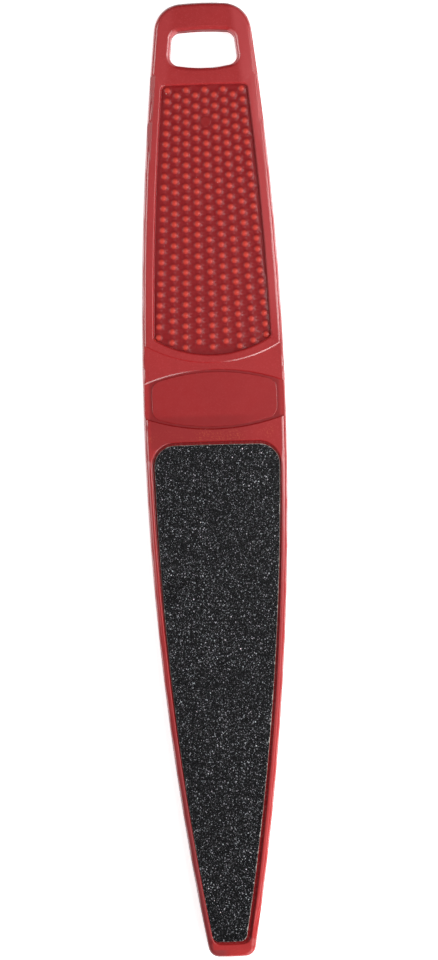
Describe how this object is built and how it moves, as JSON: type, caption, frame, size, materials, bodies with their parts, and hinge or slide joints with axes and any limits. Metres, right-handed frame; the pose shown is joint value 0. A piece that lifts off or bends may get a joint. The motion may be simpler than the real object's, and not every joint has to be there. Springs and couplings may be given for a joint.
{
  "type": "pedicure foot file",
  "caption": "Slim plastic paddle with a hang hole and a bumpy grip recess; its tapering blade carries a bonded abrasive sheet on both faces.",
  "frame": {"origin": "middle of the file's length and width, on the plane of the rear face that it lies on", "axes": "+Y along the length towards the handle end with the hang hole, +Z out of the front face, +X to the right when the front face is seen from above with the handle end up"},
  "size_m": [0.0398, 0.266, 0.006],
  "materials": {
    "red_plastic": "satin",
    "adhesive": "gloss",
    "backing_paper": "matte",
    "black_grit": "matte",
    "fine_black_grit": "matte"
  },
  "bodies": {
    "root": {"handle_body": "red_plastic", "front_adhesive_film": "adhesive", "front_abrasive_backing": "backing_paper", "front_grit_coat": "black_grit", "rear_adhesive_film": "adhesive", "rear_abrasive_backing": "backing_paper", "rear_grit_coat": "fine_black_grit"}
  },
  "joints": []
}
